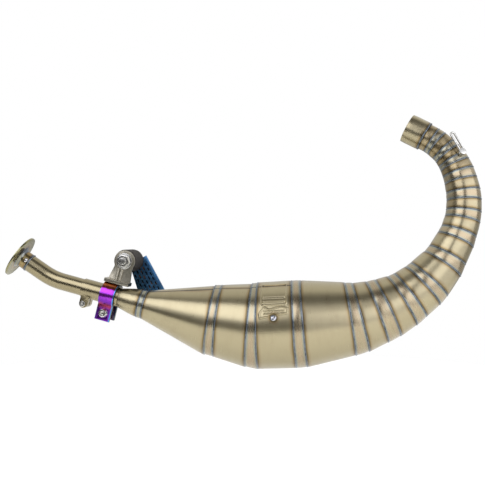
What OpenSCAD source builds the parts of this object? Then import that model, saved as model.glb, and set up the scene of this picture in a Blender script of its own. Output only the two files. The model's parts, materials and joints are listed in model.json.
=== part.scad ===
// Two-stroke expansion chamber with tail pipe, clamp, rubber mount and hanger strip.
// Origin: centre of the header socket mouth. +X towards the header bend, +Y away from
// the rider's side, +Z up. Millimetres.

/* [Overall sizes] */
// Outside diameter of the header tube
header_d = 38; // [34:0.5:46]
// Outside diameter of the belly drum
belly_d = 123; // [100:1:148]
// Sheet thickness of the chamber
sheet_t = 1; // [0.8:0.1:1.4]
// Length of the pie-cut header after the socket
header_len = 72; // [58:1:90]
// Length of the pie-cut diffuser
diffuser_len = 288; // [240:1:346]
// Length of the straight last diffuser cone
last_cone_len = 65; // [50:1:80]
// Length of the belly drum
belly_len = 51; // [40:1:65]
// Length of the long baffle cone
baffle_len = 97; // [80:1:116]

/* [Header socket] */
// Wall of the slip socket
socket_t = 2.1; // [1.7:0.1:2.6]
// How much smaller the socket's bore radius is than the header tube's outside
socket_inset = 0.4; // [0.3:0.1:0.5]
// Length of the slip socket
socket_len = 27; // [22:1:34]

/* [Stinger and tail pipe] */
// Wall of the stinger sleeve
sleeve_t = 1.4; // [1.1:0.1:1.8]
// Length of the stinger sleeve
sleeve_len = 56; // [52:1:67]
// Outside diameter of the tail pipe
tail_d = 24.6; // [20:0.1:30]
// Wall of the tail pipe
tail_t = 1.2; // [1:0.1:2]
// Radial running clearance of the slip joint
slip_clear = 0.05; // [0.02:0.01:0.1]
// Depth the tail pipe goes into the sleeve
slip_depth = 30; // [25:1:36]
// Flange neck, outside over the tail pipe's radius
neck_over = 0.5; // [0.4:0.1:0.6]
// Length of the flange neck
neck_len = 18; // [15:1:22]
// Straight length of the tail pipe between the sleeve and its bend
tail_lead = 33; // [27:1:40]
// Centreline radius of the tail pipe's bend
tail_bend_r = 80; // [64:1:96]
// Straight length of the tail pipe after its bend
tail_end_len = 25.5; // [20:0.5:31]
// Diameter of the tail flange
flange_d = 63.5; // [52:0.5:76]
// Thickness of the tail flange
flange_t = 3; // [2.5:0.1:4]

/* [Pinch joint] */
// Diameter of the pinch bolt
pinch_bolt_d = 5; // [4:0.5:6]
// Half depth of the two pinch lugs together
lug_y = 10; // [8:0.5:12]
// Width of the slit under the sleeve
slit_w = 2; // [1.6:0.1:2.4]
// Length of the slit past the pinch bolt
slit_in = 14; // [12:1:17]
// Distance from the sleeve's wall to the pinch bolt
lug_reach = 7.2; // [6.5:0.1:9]
// Distance from the sleeve's end to the pinch bolt
lug_in = 8; // [7:0.5:10]

/* [Clamp] */
// Width of the clamp band
band_w = 22; // [18:1:26]
// Thickness of the clamp band over the sleeve
band_t = 5; // [4:0.1:6]
// Thickness of the clamp band's legs
leg_t = 4; // [3.2:0.1:4.8]
// Half of the gap between the legs
leg_gap = 9; // [8:0.5:10.5]
// Diameter of the clamp bolt
clamp_bolt_d = 8; // [6:0.5:10]
// Wall of the spacer tube on the clamp bolt
spacer_t = 2; // [1.6:0.1:2.4]
// Distance from the spacer tube to the sleeve
spacer_gap = 5.7; // [4.5:0.1:7]
// Length of the band's legs past the clamp bolt's centre
leg_end = 11; // [9:0.5:13]
// Distance of the clamp from the belly end of the sleeve
clamp_at = 14.5; // [12:0.5:18]

/* [Rubber mount and hanger] */
// Height of the mount stud above the clamp band
lobe_rise = 34; // [30:1:41]
// Offset of the mount stud from the clamp's middle, towards the belly
lobe_x = 8.2; // [6.5:0.1:10]
// Radius of the bracket lobe
lobe_r = 15.3; // [13.5:0.1:18.5]
// Thickness of the bracket plate
plate_t = 3; // [2.5:0.1:4]
// Diameter of the rubber bush
bush_d = 33; // [27:0.5:39.5]
// Length of the rubber bush
bush_len = 38; // [31:0.5:45]
// Diameter of the mount stud
stud_d = 10; // [8:0.5:12]
// Width of the hanger strip
strip_w = 36; // [30:1:43]
// Offset of the strip's middle line from the mount stud
strip_off = 2.9; // [2:0.1:4]
// Length of the hanger strip from the stud to its lower end centre
strip_len = 72; // [64:1:86]
// Thickness of the hanger strip
strip_t = 2.5; // [2:0.1:4]
// Slope of the hanger strip below the sleeve's direction
strip_lean = 46.5; // [38:0.5:54]
// Radius of the bolt hole at the strip's lower end
strip_hole_r = 4.2; // [3.4:0.1:5]

/* [Spring hook] */
// Wire diameter of the spring hook
wire_d = 2.8; // [2.4:0.1:3.2]
// Length of the spring hook
hook_len = 32; // [26:1:38]

/* [Hidden] */
ti = [0.66, 0.60, 0.48];
steel = [0.78, 0.78, 0.76];
purple = [0.48, 0.20, 0.62];
blue = [0.25, 0.40, 0.55];
black = [0.13, 0.12, 0.11];
gap = 0.3;
bolt_clear = 0.1;
stud_clear = 0.08;
socket_bore_r = header_d / 2 - socket_inset;
sleeve_bore = tail_d / 2 + slip_clear;
sleeve_r = sleeve_bore + sleeve_t;
hl = header_len / 72;
dl = diffuser_len / 288;
// one row per rolled section: length, heading in the X-Z plane, lean away along +Y
run = [
  [socket_len, -30, -15],
  [12 * hl, -32, -14],
  [8 * hl, -38, -14],
  [13 * hl, -45, -13],
  [8 * hl, -51, -13],
  [11 * hl, -57, -12.5],
  [8 * hl, -64, -12],
  [12 * hl, -70, -11.5],
  [12 * dl, -76, -10],
  [15.5 * dl, -80, -8],
  [12.5 * dl, -87, -7],
  [15.5 * dl, -93.5, -6],
  [12 * dl, -100, -5],
  [18 * dl, -108, -4],
  [12.5 * dl, -113, -3.5],
  [24.5 * dl, -118.5, -2],
  [14 * dl, -121, -1],
  [28.5 * dl, -131, 0],
  [12 * dl, -135, 1],
  [21.5 * dl, -142.5, 2],
  [13.5 * dl, -145, 3],
  [22 * dl, -153, 4],
  [15.5 * dl, -157.5, 5],
  [24 * dl, -162, 6],
  [14.5 * dl, -168.5, 6.5],
  [last_cone_len, -173.5, 6.5],
  [13.5, -176, 6],
  [belly_len, -177, 5.5],
  [13, -182, 5],
  [45, -187.5, 4],
  [11, -186, 3.5],
  [baffle_len, -192.5, 3],
  [6.5, -195.5, 3],
  [11, -195.5, 4],
  [20, -195, 6],
  [sleeve_len, -194.5, 8]
];
// outside diameters at the joint planes for a 38 mm header and a 123 mm belly
plan_d = [
  38, 38, 38.2, 38.4, 38.6, 39.4, 41, 42, 43.6, 44.6, 46, 46.8, 47.6, 48, 49.2, 52,
  55.5, 59.5, 67.5, 70, 74, 78, 85.5, 89.5, 98, 102.5, 122, 123, 122, 118, 102.5, 99.5
];
// the last cones run down onto the sleeve, so their joints follow the sleeve's diameter
neck_d = [for (over = [14, 13.5, 10.5, 0.6]) 2 * sleeve_r + over];
n_run = len(run);
n_plan = len(plan_d);
n_neck = len(neck_d);
joint_d = [for (i = [0:n_run])
  i < n_plan ? grown(plan_d[i]) : i < n_plan + n_neck ? neck_d[i - n_plan] : 2 * sleeve_r];
dirs = [for (r = run) heading(r[1], r[2])];
pts = [for (i = 0, p = [0, 0, 0]; i <= n_run;
  p = p + (i < n_run ? run[i][0] * dirs[i] : [0, 0, 0]), i = i + 1) p];
nrm = [for (i = [0:n_run])
  i == 0 ? dirs[0] : i == n_run ? dirs[n_run - 1] : unit(dirs[i - 1] + dirs[i])];
s_in = pts[n_run - 1];
s_dir = dirs[n_run - 1];
s_out = pts[n_run];
lug_at = sleeve_len - lug_in;
lug_wall = 3.5;
lug_r = pinch_bolt_d / 2 + lug_wall;
pinch_nut_h = 0.8 * pinch_bolt_d;
hook_boss_r = 5;
hook_boss_h = 8;
hook_half = 3.2;
hook_turn = 24;
bush_groove = 1.5;
lug_drop = sleeve_r + lug_reach;
spacer_r = clamp_bolt_d / 2 + spacer_t;
leg_y = leg_gap + leg_t;
clamp_nut_h = 0.8 * clamp_bolt_d;
front_nut_h = 0.8 * stud_d;
rear_nut_h = 0.8 * stud_d;
washer_r = 1.15 * stud_d;
clamp_bolt_drop = sleeve_r + spacer_gap + spacer_r;
foot_z = sleeve_r + band_t;
lobe_h = foot_z + lobe_rise;
plate_y = -1;
bush_y = plate_y + plate_t + gap;
strip_y = bush_y + bush_len;
// tail pipe: straight in the sleeve, one mandrel bend, straight to the flange neck
t_dir = heading(-215, -1);
bend_angle = acos(s_dir * t_dir);
bend_in = unit(t_dir - (s_dir * t_dir) * s_dir);
bend_start = s_out + tail_lead * s_dir;
bend_centre = bend_start + tail_bend_r * bend_in;
bend_end = bend_centre + tail_bend_r * (sin(bend_angle) * s_dir - cos(bend_angle) * bend_in);
t_end = bend_end + tail_end_len * t_dir;

function grown(d) = header_d + (d - 38) * (belly_d - header_d) / 85;
function heading(h, b) = [cos(b) * cos(h), sin(b), cos(b) * sin(h)];
function unit(v) = v / norm(v);

// place children so that +Z runs along d from point p
module along(p, d) {
  translate(p)
    rotate([0, acos(d[2] / norm(d)), atan2(d[1], d[0])])
      children();
}

// everything on the n side of the plane through p
module beyond(p, n, s = 320) {
  along(p, n)
    translate([-s / 2, -s / 2, 0])
      cube([s, s, s / 2]);
}

// cone between two mitre planes, bored through unless the wall is thicker than the cone
module mitred(p, q, d, r0, r1, t, n0, n1) {
  len_pq = norm(q - p);
  k = (r1 - r0) / len_pq;
  // overrun that a mitre plane tilted by up to nine degrees still cuts whole
  e = 0.16 * max(r0, r1) + 1;
  difference() {
    along(p - e * d, d)
      cylinder(h = len_pq + 2 * e, r1 = r0 - k * e, r2 = r1 + k * e, $fn = 96);
    if (t < min(r0, r1))
      along(p - (e + 1) * d, d)
        cylinder(h = len_pq + 2 * e + 2, r1 = r0 - t - k * (e + 1), r2 = r1 - t + k * (e + 1), $fn = 96);
    beyond(p, -n0);
    beyond(q, n1);
  }
}

module section(i) {
  mitred(pts[i], pts[i + 1], dirs[i], joint_d[i] / 2, joint_d[i + 1] / 2, sheet_t, nrm[i], nrm[i + 1]);
}

// frame on the stinger: +X to the belly, +Y away, +Z up, origin a distance s along the sleeve
module on_sleeve(s) {
  x = -s_dir;
  y = unit(cross([0, 0, 1], x));
  z = cross(x, y);
  o = s_in + s * s_dir;
  multmatrix([
    [x[0], y[0], z[0], o[0]],
    [x[1], y[1], z[1], o[1]],
    [x[2], y[2], z[2], o[2]],
    [0, 0, 0, 1]
  ])
    children();
}

// cylinder along +Y starting at y, in the sleeve's frame
module rod_y(x, y, z, h, r, fn = 48) {
  translate([x, y, z])
    rotate([-90, 0, 0])
      cylinder(h = h, r = r, $fn = fn);
}

module header_socket() {
  color(ti)
    difference() {
      along(pts[0], dirs[0])
        cylinder(h = socket_len + 4, r = socket_bore_r + socket_t, $fn = 96);
      along(pts[0] - 1 * dirs[0], dirs[0])
        cylinder(h = socket_len - 1, r = socket_bore_r, $fn = 96);
      along(pts[0] - 1 * dirs[0], dirs[0])
        cylinder(h = socket_len + 10, r = header_d / 2 - sheet_t, $fn = 96);
      beyond(pts[1], nrm[1]);
    }
}

module header_cone_1() { color(ti) section(1); }
module header_ring_1() { color(ti) section(2); }
module header_cone_2() { color(ti) section(3); }
module header_ring_2() { color(ti) section(4); }
module header_cone_3() { color(ti) section(5); }
module header_ring_3() { color(ti) section(6); }
module header_cone_4() { color(ti) section(7); }
module diffuser_ring_1() { color(ti) section(8); }
module diffuser_cone_1() { color(ti) section(9); }
module diffuser_ring_2() { color(ti) section(10); }
module diffuser_cone_2() { color(ti) section(11); }
module diffuser_ring_3() { color(ti) section(12); }
module diffuser_cone_3() { color(ti) section(13); }
module diffuser_ring_4() { color(ti) section(14); }
module diffuser_cone_4() { color(ti) section(15); }
module diffuser_ring_5() { color(ti) section(16); }
module diffuser_cone_5() { color(ti) section(17); }
module diffuser_ring_6() { color(ti) section(18); }
module diffuser_cone_6() { color(ti) section(19); }
module diffuser_ring_7() { color(ti) section(20); }
module diffuser_cone_7() { color(ti) section(21); }
module diffuser_ring_8() { color(ti) section(22); }
module diffuser_cone_8() { color(ti) section(23); }
module diffuser_ring_9() { color(ti) section(24); }
module diffuser_cone_9() { color(ti) section(25); }
module belly_ring_1() { color(ti) section(26); }
module belly_drum() { color(ti) section(27); }
module belly_ring_2() { color(ti) section(28); }
module baffle_cone_1() { color(ti) section(29); }
module baffle_ring_1() { color(ti) section(30); }
module baffle_cone_2() { color(ti) section(31); }
module baffle_ring_2() { color(ti) section(32); }
module baffle_cone_3() { color(ti) section(33); }
module baffle_cone_4() { color(ti) section(34); }

// sleeve tube, slit along the bottom of its far end, with a lug each side of the slit
module stinger_sleeve() {
  color(ti)
    difference() {
      union() {
        difference() {
          along(s_in - 3 * s_dir, s_dir)
            cylinder(h = sleeve_len + 3, r = sleeve_r, $fn = 96);
          beyond(s_in, -nrm[n_run - 1]);
        }
        on_sleeve(lug_at) {
          translate([-lug_r, -lug_y, -lug_drop])
            cube([2 * lug_r, 2 * lug_y, lug_drop - sleeve_r / 2]);
          rod_y(0, -lug_y, -lug_drop, 2 * lug_y, lug_r);
        }
      }
      along(s_in - 4 * s_dir, s_dir)
        cylinder(h = sleeve_len + 5, r = sleeve_bore, $fn = 96);
      on_sleeve(lug_at) {
        translate([-lug_in - 1, -slit_w / 2, -2 * lug_drop])
          cube([lug_in + slit_in + 1, slit_w, 2 * lug_drop - sleeve_r / 2]);
        rod_y(0, -2 * lug_y, -lug_drop, 4 * lug_y, pinch_bolt_d / 2 + bolt_clear, 36);
      }
    }
}

module pinch_bolt() {
  head_h = 0.8 * pinch_bolt_d;
  past_nut = 2;
  color(steel)
    on_sleeve(lug_at)
      difference() {
        union() {
          rod_y(0, -lug_y - 1, -lug_drop, 2 * lug_y + 1 + pinch_nut_h + past_nut, pinch_bolt_d / 2, 36);
          rod_y(0, -lug_y - head_h, -lug_drop, head_h, 0.85 * pinch_bolt_d, 36);
        }
        rod_y(0, -lug_y - head_h - 1, -lug_drop, 0.6 * head_h + 1, 0.34 * pinch_bolt_d, 6);
      }
}

module pinch_nut() {
  color(steel)
    on_sleeve(lug_at)
      difference() {
        rod_y(0, lug_y, -lug_drop, pinch_nut_h, 0.9 * pinch_bolt_d, 6);
        rod_y(0, lug_y - 1, -lug_drop, pinch_nut_h + 2, pinch_bolt_d / 2, 36);
      }
}

// straight tube of the tail pipe's section from p along d
module tail_tube(p, d, h) {
  along(p, d)
    difference() {
      cylinder(h = h, r = tail_d / 2, $fn = 96);
      translate([0, 0, -1])
        cylinder(h = h + 2, r = tail_d / 2 - tail_t, $fn = 96);
    }
}

module tail_slip() {
  color(ti)
    tail_tube(s_out - slip_depth * s_dir, s_dir, slip_depth + tail_lead);
}

module tail_bend() {
  x = -bend_in;
  z = cross(x, s_dir);
  color(ti)
    multmatrix([
      [x[0], s_dir[0], z[0], bend_centre[0]],
      [x[1], s_dir[1], z[1], bend_centre[1]],
      [x[2], s_dir[2], z[2], bend_centre[2]],
      [0, 0, 0, 1]
    ])
      rotate_extrude(angle = bend_angle, $fn = 360)
        translate([tail_bend_r, 0])
          difference() {
            circle(r = tail_d / 2, $fn = 96);
            circle(r = tail_d / 2 - tail_t, $fn = 96);
          }
}

module tail_end() {
  color(ti)
    tail_tube(bend_end, t_dir, tail_end_len);
}

module flange_neck() {
  color(ti)
    along(t_end, t_dir)
      difference() {
        cylinder(h = neck_len, r = tail_d / 2 + neck_over, $fn = 96);
        translate([0, 0, -1])
          cylinder(h = neck_len + 2, r = tail_d / 2 - tail_t, $fn = 96);
      }
}

module flange_disc() {
  color(ti)
    along(t_end + (neck_len - flange_t) * t_dir, t_dir)
      difference() {
        cylinder(h = flange_t, r = flange_d / 2, $fn = 128);
        translate([0, 0, -1])
          cylinder(h = flange_t + 2, r = tail_d / 2 + neck_over, $fn = 96);
      }
}

// hook frame: +Z out of the header's near face, +Y up the wire
module at_hook() {
  i = 6;
  up = -dirs[i];
  side = unit(cross([0, 1, 0], up));
  near = unit(cross(side, up));
  out = unit(cos(hook_turn) * near + sin(hook_turn) * side);
  across = cross(up, out);
  o = pts[i] + (joint_d[i] / 2 - 1) * out;
  multmatrix([
    [across[0], up[0], out[0], o[0]],
    [across[1], up[1], out[1], o[1]],
    [across[2], up[2], out[2], o[2]],
    [0, 0, 0, 1]
  ])
    children();
}

// the solid a section would be without its bore, running on past both its joints
module filled(i, past) {
  k = (joint_d[i + 1] - joint_d[i]) / 2 / run[i][0];
  along(pts[i] - past * dirs[i], dirs[i])
    cylinder(h = run[i][0] + 2 * past, r1 = joint_d[i] / 2 - k * past, r2 = joint_d[i + 1] / 2 + k * past, $fn = 96);
}

module hook_boss() {
  color(steel)
    difference() {
      at_hook()
        translate([0, 0, -2])
          cylinder(h = hook_boss_h + 2, r = hook_boss_r, $fn = 48);
      for (i = [5:6])
        filled(i, hook_boss_r + 3);
    }
}

module hook_wire() {
  color(steel)
    at_hook()
      difference() {
        translate([0, 0, hook_boss_h - wire_d / 2]) {
          for (s = [-1, 1])
            translate([s * hook_half, 0, 0])
              rotate([-90, 0, 0])
                cylinder(h = hook_len - hook_boss_r, r = wire_d / 2, $fn = 32);
          translate([0, hook_len - hook_boss_r, 0])
            rotate_extrude(angle = 180, $fn = 48)
              translate([hook_half, 0])
                circle(r = wire_d / 2, $fn = 32);
        }
        translate([0, 0, -3])
          cylinder(h = hook_boss_h + 4, r = hook_boss_r, $fn = 48);
      }
}

// clamp outline in the plane across the sleeve, seen along it
module clamp_outline() {
  h_leg = clamp_bolt_drop + leg_end;
  difference() {
    union() {
      circle(r = sleeve_r + band_t, $fn = 96);
      translate([-leg_y, -h_leg])
        square([2 * leg_y, h_leg]);
    }
    circle(r = sleeve_r, $fn = 96);
    translate([-leg_gap, -h_leg - 1])
      square([2 * leg_gap, h_leg + 1]);
  }
}

module clamp_band() {
  color(purple)
    on_sleeve(clamp_at)
      difference() {
        translate([-band_w / 2, 0, 0])
          rotate([90, 0, 90])
            linear_extrude(band_w)
              clamp_outline();
        rod_y(0, -2 * leg_y, -clamp_bolt_drop, 4 * leg_y, clamp_bolt_d / 2 + bolt_clear, 48);
      }
}

module clamp_bolt() {
  head_h = 0.55 * clamp_bolt_d;
  past_nut = 4;
  color(steel)
    on_sleeve(clamp_at)
      difference() {
        union() {
          rod_y(0, -leg_y - 1, -clamp_bolt_drop, 2 * leg_y + 1 + clamp_nut_h + past_nut, clamp_bolt_d / 2, 48);
          translate([0, -leg_y, -clamp_bolt_drop])
            rotate([90, 0, 0])
              cylinder(h = head_h, r1 = 0.9 * clamp_bolt_d, r2 = 0.66 * clamp_bolt_d, $fn = 48);
        }
        rod_y(0, -leg_y - head_h - 1, -clamp_bolt_drop, 0.45 * clamp_bolt_d, 0.34 * clamp_bolt_d, 6);
      }
}

module clamp_nut() {
  color(steel)
    on_sleeve(clamp_at)
      difference() {
        rod_y(0, leg_y, -clamp_bolt_drop, clamp_nut_h, 0.92 * clamp_bolt_d, 6);
        rod_y(0, leg_y - 1, -clamp_bolt_drop, clamp_nut_h + 2, clamp_bolt_d / 2, 48);
      }
}

module clamp_spacer() {
  color(steel)
    on_sleeve(clamp_at)
      difference() {
        rod_y(0, -leg_gap, -clamp_bolt_drop, 2 * leg_gap, spacer_r, 48);
        rod_y(0, -leg_gap - 1, -clamp_bolt_drop, 2 * leg_gap + 2, clamp_bolt_d / 2 + bolt_clear, 48);
      }
}

// upright plate with a round lobe on a foot that sits on the band, with two ribs between them
module bracket_plate() {
  foot_h = 5;
  foot_half = 9;
  foot_x0 = lobe_x - lobe_r - 5;
  foot_x1 = lobe_x + lobe_r + 0.5;
  waist = lobe_h - 0.65 * lobe_r;
  rib_r = 2;
  rib_top = lobe_h - washer_r - 1;
  color(steel)
    on_sleeve(clamp_at)
      difference() {
        union() {
          translate([0, plate_y, 0])
            rotate([90, 0, 0])
              mirror([0, 0, 1])
                linear_extrude(plate_t)
                  union() {
                    translate([lobe_x, lobe_h])
                      circle(r = lobe_r, $fn = 72);
                    polygon([
                      [lobe_x - lobe_r, lobe_h],
                      [lobe_x - 0.82 * lobe_r, waist],
                      [foot_x0 + 3, foot_z + foot_h],
                      [foot_x0 + 3, foot_z + foot_h - 1],
                      [foot_x1, foot_z + foot_h - 1],
                      [foot_x1, foot_z + foot_h],
                      [lobe_x + 0.9 * lobe_r, waist],
                      [lobe_x + lobe_r, lobe_h]
                    ]);
                  }
          translate([foot_x0, -foot_half, foot_z])
            cube([foot_x1 - foot_x0, 2 * foot_half, foot_h]);
          for (x = [lobe_x - 0.35 * lobe_r, lobe_x])
            translate([x, plate_y - rib_r / 2, foot_z + foot_h - 1])
              cylinder(h = rib_top - foot_z - foot_h + 1, r = rib_r, $fn = 32);
        }
        translate([-60, 0, 0])
          rotate([0, 90, 0])
            cylinder(h = 120, r = foot_z, $fn = 96);
        rod_y(lobe_x, plate_y - 2 * rib_r, lobe_h, plate_t + 4 * rib_r, stud_d / 2 + stud_clear, 48);
      }
}

module rubber_bush() {
  n_rib = 4;
  pitch = bush_len / (2 * n_rib + 1);
  color(black)
    on_sleeve(clamp_at)
      difference() {
        union() {
          rod_y(lobe_x, bush_y, lobe_h, bush_len, bush_d / 2 - bush_groove, 72);
          for (k = [0:n_rib])
            rod_y(lobe_x, bush_y + 2 * k * pitch, lobe_h, pitch, bush_d / 2, 72);
        }
        rod_y(lobe_x, bush_y - 1, lobe_h, bush_len + 2, stud_d / 2, 48);
      }
}

module mount_stud() {
  past_front = 3;
  past_rear = 11;
  y0 = plate_y - gap - front_nut_h - past_front;
  color(steel)
    on_sleeve(clamp_at)
      rod_y(lobe_x, y0, lobe_h, strip_y + strip_t + rear_nut_h + past_rear - y0, stud_d / 2, 48);
}

// hexagon nut on a round washer, in front of the plate
module mount_nut_front() {
  washer_t = 1.2;
  y0 = plate_y - gap - front_nut_h;
  color(steel)
    on_sleeve(clamp_at)
      difference() {
        union() {
          rod_y(lobe_x, y0, lobe_h, front_nut_h - washer_t / 2, 0.95 * stud_d, 6);
          rod_y(lobe_x, y0 + front_nut_h - washer_t, lobe_h, washer_t, washer_r, 48);
        }
        rod_y(lobe_x, y0 - 1, lobe_h, front_nut_h + 2, stud_d / 2, 48);
      }
}

module mount_nut_rear() {
  color(steel)
    on_sleeve(clamp_at)
      difference() {
        rod_y(lobe_x, strip_y + strip_t, lobe_h, rear_nut_h, 0.95 * stud_d, 6);
        rod_y(lobe_x, strip_y + strip_t - 1, lobe_h, rear_nut_h + 2, stud_d / 2, 48);
      }
}

// points on an arc of radius r about [x, y], from angle a0 to a1
function arc(x, y, r, a0, a1, steps) =
  [for (i = [0:steps]) [x + r * cos(a0 + (a1 - a0) * i / steps), y + r * sin(a0 + (a1 - a0) * i / steps)]];

// strip outline with its two holes: +X down the strip, +Y to its upper edge, origin on the stud
module strip_outline() {
  head_r = 0.4 * bush_d;
  neck_x = 0.1 * bush_d;
  neck_a = acos(neck_x / head_r);
  upper = strip_off + strip_w / 2;
  lower = strip_off - strip_w / 2;
  taper = 0.15 * strip_w;
  difference() {
    polygon(concat(
      [[neck_x, upper]],
      arc(0, 0, head_r, neck_a, 360 - neck_a, 40),
      [[0.18 * strip_len, lower + taper], [0.55 * strip_len, lower]],
      arc(strip_len, strip_off, strip_w / 2, -90, 90, 36)
    ));
    circle(r = stud_d / 2, $fn = 48);
    translate([strip_len, strip_off])
      circle(r = strip_hole_r, $fn = 48);
  }
}

// staggered rows of pressed slots between the bush and the lower bolt hole
module strip_slots() {
  slot_pitch = 8;
  slot_from = bush_d / 2 - 2;
  slot_rows = floor((strip_len - strip_hole_r - 4 - slot_from) / slot_pitch);
  for (r = [0:slot_rows - 1], c = [-2:2])
    translate([slot_from + (r + (c % 2 == 0 ? 0 : 0.5)) * slot_pitch, strip_off + c * strip_w / 6.5])
      square([0.66 * slot_pitch, strip_w / 16], center = true);
}

// strip behind the bush, running down behind the baffle cone
module hanger_strip() {
  slot_floor = 0.4 * strip_t;
  color(blue)
    on_sleeve(clamp_at)
      translate([lobe_x, strip_y, lobe_h])
        rotate([0, strip_lean, 0])
          difference() {
            rotate([90, 0, 0])
              mirror([0, 0, 1])
                linear_extrude(strip_t)
                  strip_outline();
            translate([0, -1, 0])
              rotate([90, 0, 0])
                mirror([0, 0, 1])
                  linear_extrude(strip_t - slot_floor + 1)
                    strip_slots();
          }
}

header_socket();
header_cone_1();
header_ring_1();
header_cone_2();
header_ring_2();
header_cone_3();
header_ring_3();
header_cone_4();
diffuser_ring_1();
diffuser_cone_1();
diffuser_ring_2();
diffuser_cone_2();
diffuser_ring_3();
diffuser_cone_3();
diffuser_ring_4();
diffuser_cone_4();
diffuser_ring_5();
diffuser_cone_5();
diffuser_ring_6();
diffuser_cone_6();
diffuser_ring_7();
diffuser_cone_7();
diffuser_ring_8();
diffuser_cone_8();
diffuser_ring_9();
diffuser_cone_9();
belly_ring_1();
belly_drum();
belly_ring_2();
baffle_cone_1();
baffle_ring_1();
baffle_cone_2();
baffle_ring_2();
baffle_cone_3();
baffle_cone_4();
stinger_sleeve();
pinch_bolt();
pinch_nut();
tail_slip();
tail_bend();
tail_end();
flange_neck();
flange_disc();
hook_boss();
hook_wire();
clamp_band();
clamp_bolt();
clamp_nut();
clamp_spacer();
bracket_plate();
rubber_bush();
mount_stud();
mount_nut_front();
mount_nut_rear();
hanger_strip();
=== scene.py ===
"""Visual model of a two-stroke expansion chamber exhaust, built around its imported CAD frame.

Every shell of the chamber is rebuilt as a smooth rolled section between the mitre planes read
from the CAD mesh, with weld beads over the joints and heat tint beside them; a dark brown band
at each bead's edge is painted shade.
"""

import json
import logging
import math
from dataclasses import dataclass, field
from enum import Enum

import bmesh
import bpy
import numpy as np
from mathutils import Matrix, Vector


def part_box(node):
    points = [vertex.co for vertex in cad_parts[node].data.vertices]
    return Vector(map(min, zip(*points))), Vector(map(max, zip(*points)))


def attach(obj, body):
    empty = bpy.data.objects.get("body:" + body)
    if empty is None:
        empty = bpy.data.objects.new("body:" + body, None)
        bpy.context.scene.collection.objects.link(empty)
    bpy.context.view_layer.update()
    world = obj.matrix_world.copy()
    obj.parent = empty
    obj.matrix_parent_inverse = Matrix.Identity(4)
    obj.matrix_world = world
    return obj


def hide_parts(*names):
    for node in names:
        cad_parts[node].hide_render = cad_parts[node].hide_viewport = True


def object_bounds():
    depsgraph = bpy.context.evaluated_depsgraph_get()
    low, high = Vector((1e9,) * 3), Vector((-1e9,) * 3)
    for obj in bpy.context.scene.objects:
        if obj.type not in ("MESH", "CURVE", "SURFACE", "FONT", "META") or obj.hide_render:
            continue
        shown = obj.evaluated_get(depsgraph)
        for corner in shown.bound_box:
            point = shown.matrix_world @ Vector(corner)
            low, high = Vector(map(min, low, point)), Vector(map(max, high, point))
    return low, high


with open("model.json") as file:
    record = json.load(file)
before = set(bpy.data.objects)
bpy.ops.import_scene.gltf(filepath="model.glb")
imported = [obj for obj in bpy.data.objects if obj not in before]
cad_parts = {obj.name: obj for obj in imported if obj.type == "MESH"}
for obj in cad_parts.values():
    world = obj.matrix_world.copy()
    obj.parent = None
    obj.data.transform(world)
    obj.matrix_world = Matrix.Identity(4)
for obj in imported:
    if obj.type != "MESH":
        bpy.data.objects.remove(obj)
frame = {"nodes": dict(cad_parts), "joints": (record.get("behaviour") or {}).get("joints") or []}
CAD_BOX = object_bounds()

LOG = logging.getLogger("exhaust")
MM = 0.001
TURN = 2 * math.pi
FAR_MM = 100.0
SHARP_DEG = 35.0
WELD_SHRINK_MM = 0.3
BEAD_STEP_MM = 0.6
PUDDLE_MM = 1.6
RIPPLE = 0.2
# rows of points beside the welds, which the heat tint needs, and away from them
BESIDE_SEAM_MM = (0.6, 1.3, 2.1, 3.0, 4.2, 6.0)
BESIDE_WELD_MM = (0.0, 0.7, 1.4, 2.1, 3.0, 4.0, 5.5, 7.5, 10.0)
OPEN_STEP_MM = 5.0
# each section is cut from another part of the sheet
SHEET_SHIFT_MM = 173.0
# what makes faces of the CAD mesh one flat end: parallel, on one level, and with many corners
PARALLEL = 0.9998
LEVEL_MM = 0.1
END_CORNERS = 40
CHAMBER = "chamber"
TAIL = "tail"
HANGER = "hanger"


# ---- Colours and nodes -----------------------


def linear(code: str) -> tuple[float, float, float, float]:
    """Turns an sRGB hex colour into linear RGBA.

    Args:
        code: colour as "#rrggbb".

    Returns:
        Linear red, green, blue and an alpha of one.
    """
    channels = [int(code[i : i + 2], 16) / 255 for i in (1, 3, 5)]
    red, green, blue = (
        c / 12.92 if c <= 0.04045 else ((c + 0.055) / 1.055) ** 2.4 for c in channels
    )
    return red, green, blue, 1.0


def add(tree: bpy.types.NodeTree, kind: str, settings: dict | None = None,
        links: dict | None = None) -> bpy.types.Node:
    """Adds a node with its settings and links.

    Args:
        tree: node tree that takes the node.
        kind: Blender's identifier of the node, without "ShaderNode" in front.
        settings: socket names or numbers to values, attribute names to values, and "stops" to
            a list of (position, hex colour) for a colour ramp.
        links: socket names or numbers to what feeds them: an output socket, or a node for its
            result.

    Returns:
        The new node.
    """
    node = tree.nodes.new("ShaderNode" + kind)
    for key, value in (settings or {}).items():
        if key == "stops":
            elements = node.color_ramp.elements
            while len(elements) < len(value):
                elements.new(1.0)
            for element, (position, code) in zip(elements, value):
                element.position = position
                element.color = linear(code)
        elif isinstance(key, int) or key in node.inputs:
            node.inputs[key].default_value = value
        else:
            setattr(node, key, value)
    for key, source in (links or {}).items():
        if isinstance(source, bpy.types.Node):
            # a colour mix has its result behind the float and the vector
            mixes_colour = source.bl_idname == "ShaderNodeMix" and source.data_type == "RGBA"
            source = source.outputs[2 if mixes_colour else 0]
        tree.links.new(source, node.inputs[key])
    return node


# ---- Finishes --------------------------------


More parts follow.
